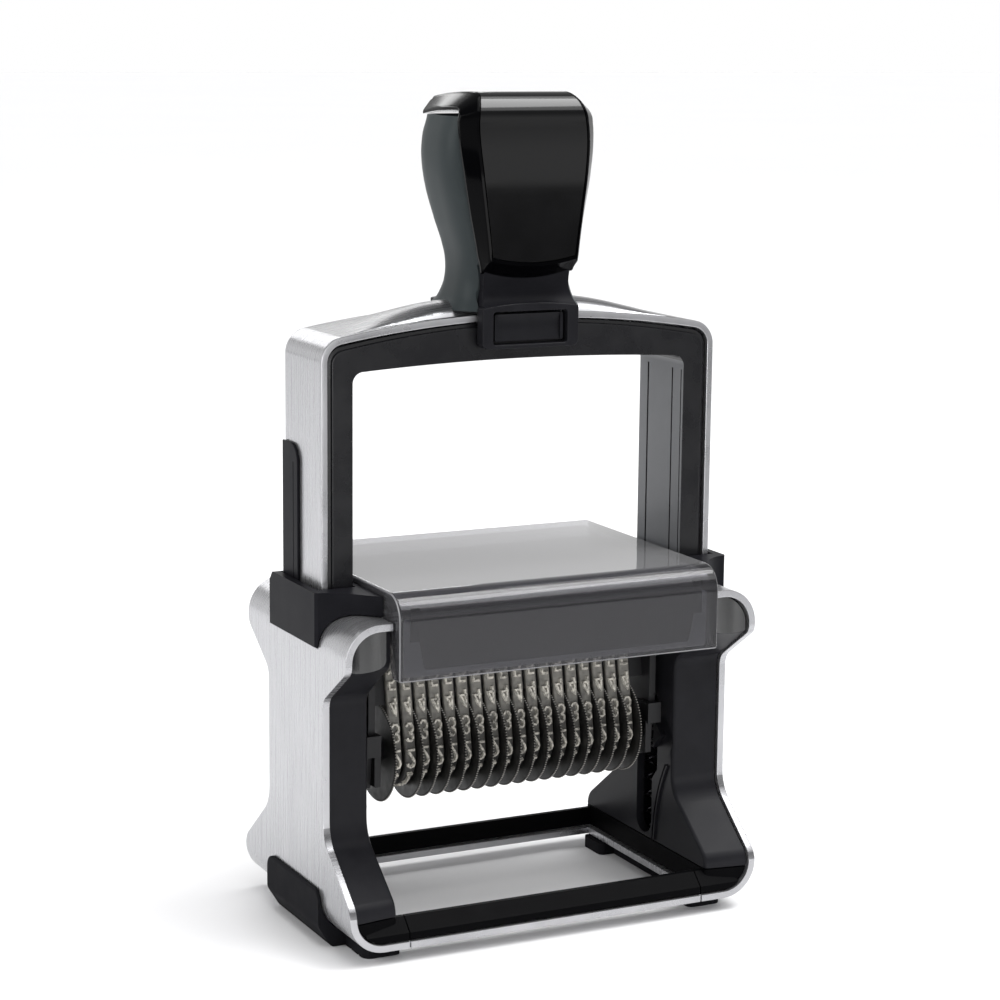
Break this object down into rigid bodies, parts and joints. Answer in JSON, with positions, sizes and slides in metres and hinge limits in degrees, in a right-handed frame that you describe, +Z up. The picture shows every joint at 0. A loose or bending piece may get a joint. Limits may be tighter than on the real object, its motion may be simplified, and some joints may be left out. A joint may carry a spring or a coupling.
{
  "type": "self-inking numbering stamp",
  "caption": "Heavy-duty self-inking stamp with a press bow and handle, a flip-over print head of digit bands turned by thumbwheels, and a slide-out ink pad under a clear hood.",
  "frame": {"origin": "centre of the footprint on the table, at the underside of the feet", "axes": "+X to the right seen from the front, +Y to the rear, +Z up along the press stroke"},
  "size_m": [0.1018, 0.0612, 0.1833],
  "materials": {
    "brushed_silver": "vertically brushed, satin anodised",
    "satin_black": "satin moulded",
    "gloss_black": "polished",
    "soft_grip": "soft-touch, fine grain",
    "foot_rubber": "matte",
    "smoked_clear": "clear, smoked grey",
    "spring_steel": "drawn wire",
    "ink_foam": "ink-soaked felt",
    "band_rubber": "moulded rubber, lightly inked"
  },
  "bodies": {
    "housing": {"base_shell": "brushed_silver", "base_frame": "satin_black", "left_cheek": "satin_black", "right_cheek": "satin_black", "left_collar": "satin_black", "right_collar": "satin_black", "left_foot": "foot_rubber", "right_foot": "foot_rubber", "pad_housing": "satin_black", "hood": "smoked_clear", "left_return_spring": "spring_steel", "right_return_spring": "spring_steel"},
    "bow": {"bow_shell": "brushed_silver", "bow_liner": "satin_black", "left_slide_bar": "satin_black", "right_slide_bar": "satin_black", "handle_core": "soft_grip", "handle_strap": "gloss_black", "handle_window": "gloss_black"},
    "lock": {"lock_button": "satin_black"},
    "cartridge": {"pad_cartridge": "satin_black", "ink_pad": "ink_foam"},
    "print_head": {"head_frame": "satin_black", "wheel_axle": "spring_steel", "number_band_01": "band_rubber", "number_band_02": "band_rubber", "number_band_03": "band_rubber", "number_band_04": "band_rubber", "number_band_05": "band_rubber", "number_band_06": "band_rubber", "number_band_07": "band_rubber", "number_band_08": "band_rubber", "number_band_09": "band_rubber", "number_band_10": "band_rubber", "number_band_11": "band_rubber", "number_band_12": "band_rubber", "number_band_13": "band_rubber", "number_band_14": "band_rubber", "number_band_15": "band_rubber", "number_band_16": "band_rubber", "number_band_17": "band_rubber", "number_band_18": "band_rubber"},
    "thumbwheel_01": {"thumbwheel_01": "satin_black"},
    "thumbwheel_02": {"thumbwheel_02": "satin_black"},
    "thumbwheel_03": {"thumbwheel_03": "satin_black"},
    "thumbwheel_04": {"thumbwheel_04": "satin_black"},
    "thumbwheel_05": {"thumbwheel_05": "satin_black"},
    "thumbwheel_06": {"thumbwheel_06": "satin_black"},
    "thumbwheel_07": {"thumbwheel_07": "satin_black"},
    "thumbwheel_08": {"thumbwheel_08": "satin_black"},
    "thumbwheel_09": {"thumbwheel_09": "satin_black"},
    "thumbwheel_10": {"thumbwheel_10": "satin_black"},
    "thumbwheel_11": {"thumbwheel_11": "satin_black"},
    "thumbwheel_12": {"thumbwheel_12": "satin_black"},
    "thumbwheel_13": {"thumbwheel_13": "satin_black"},
    "thumbwheel_14": {"thumbwheel_14": "satin_black"},
    "thumbwheel_15": {"thumbwheel_15": "satin_black"},
    "thumbwheel_16": {"thumbwheel_16": "satin_black"},
    "thumbwheel_17": {"thumbwheel_17": "satin_black"},
    "thumbwheel_18": {"thumbwheel_18": "satin_black"}
  },
  "joints": [
    {"name": "press_slide", "type": "slide", "parent": "housing", "child": "bow", "axis": [0, 0, -1], "range_m": [0, 0.043], "stiffness_N_per_m": 400, "springref_m": -0.02, "deforming": ["left_return_spring", "right_return_spring"]},
    {"name": "head_flip", "type": "hinge", "parent": "bow", "child": "print_head", "pos_m": [0, 0, 0.057], "axis": [-1, 0, 0], "range_deg": [0, 180]},
    {"name": "lock_press", "type": "slide", "parent": "bow", "child": "lock", "axis": [0, 1, 0], "range_m": [0, 0.002], "stiffness_N_per_m": 300, "springref_m": -0.002},
    {"name": "cartridge_slide", "type": "slide", "parent": "housing", "child": "cartridge", "axis": [0, 1, 0], "range_m": [0, 0.055]},
    {"name": "digit_01_turn", "type": "hinge", "parent": "print_head", "child": "thumbwheel_01", "pos_m": [-0.02916, 0, 0.0382], "axis": [1, 0, 0], "continuous": true},
    {"name": "digit_02_turn", "type": "hinge", "parent": "print_head", "child": "thumbwheel_02", "pos_m": [-0.02573, 0, 0.0382], "axis": [1, 0, 0], "continuous": true},
    {"name": "digit_03_turn", "type": "hinge", "parent": "print_head", "child": "thumbwheel_03", "pos_m": [-0.02229, 0, 0.0382], "axis": [1, 0, 0], "continuous": true},
    {"name": "digit_04_turn", "type": "hinge", "parent": "print_head", "child": "thumbwheel_04", "pos_m": [-0.01886, 0, 0.0382], "axis": [1, 0, 0], "continuous": true},
    {"name": "digit_05_turn", "type": "hinge", "parent": "print_head", "child": "thumbwheel_05", "pos_m": [-0.01544, 0, 0.0382], "axis": [1, 0, 0], "continuous": true},
    {"name": "digit_06_turn", "type": "hinge", "parent": "print_head", "child": "thumbwheel_06", "pos_m": [-0.01201, 0, 0.0382], "axis": [1, 0, 0], "continuous": true},
    {"name": "digit_07_turn", "type": "hinge", "parent": "print_head", "child": "thumbwheel_07", "pos_m": [-0.00857, 0, 0.0382], "axis": [1, 0, 0], "continuous": true},
    {"name": "digit_08_turn", "type": "hinge", "parent": "print_head", "child": "thumbwheel_08", "pos_m": [-0.00515, 0, 0.0382], "axis": [1, 0, 0], "continuous": true},
    {"name": "digit_09_turn", "type": "hinge", "parent": "print_head", "child": "thumbwheel_09", "pos_m": [-0.00171, 0, 0.0382], "axis": [1, 0, 0], "continuous": true},
    {"name": "digit_10_turn", "type": "hinge", "parent": "print_head", "child": "thumbwheel_10", "pos_m": [0.00171, 0, 0.0382], "axis": [1, 0, 0], "continuous": true},
    {"name": "digit_11_turn", "type": "hinge", "parent": "print_head", "child": "thumbwheel_11", "pos_m": [0.00515, 0, 0.0382], "axis": [1, 0, 0], "continuous": true},
    {"name": "digit_12_turn", "type": "hinge", "parent": "print_head", "child": "thumbwheel_12", "pos_m": [0.00857, 0, 0.0382], "axis": [1, 0, 0], "continuous": true},
    {"name": "digit_13_turn", "type": "hinge", "parent": "print_head", "child": "thumbwheel_13", "pos_m": [0.01201, 0, 0.0382], "axis": [1, 0, 0], "continuous": true},
    {"name": "digit_14_turn", "type": "hinge", "parent": "print_head", "child": "thumbwheel_14", "pos_m": [0.01544, 0, 0.0382], "axis": [1, 0, 0], "continuous": true},
    {"name": "digit_15_turn", "type": "hinge", "parent": "print_head", "child": "thumbwheel_15", "pos_m": [0.01886, 0, 0.0382], "axis": [1, 0, 0], "continuous": true},
    {"name": "digit_16_turn", "type": "hinge", "parent": "print_head", "child": "thumbwheel_16", "pos_m": [0.02229, 0, 0.0382], "axis": [1, 0, 0], "continuous": true},
    {"name": "digit_17_turn", "type": "hinge", "parent": "print_head", "child": "thumbwheel_17", "pos_m": [0.02573, 0, 0.0382], "axis": [1, 0, 0], "continuous": true},
    {"name": "digit_18_turn", "type": "hinge", "parent": "print_head", "child": "thumbwheel_18", "pos_m": [0.02916, 0, 0.0382], "axis": [1, 0, 0], "continuous": true}
  ],
  "couplings": [
    {"joint": "head_flip", "follows": "press_slide", "rad_per_m": 73.06}
  ]
}
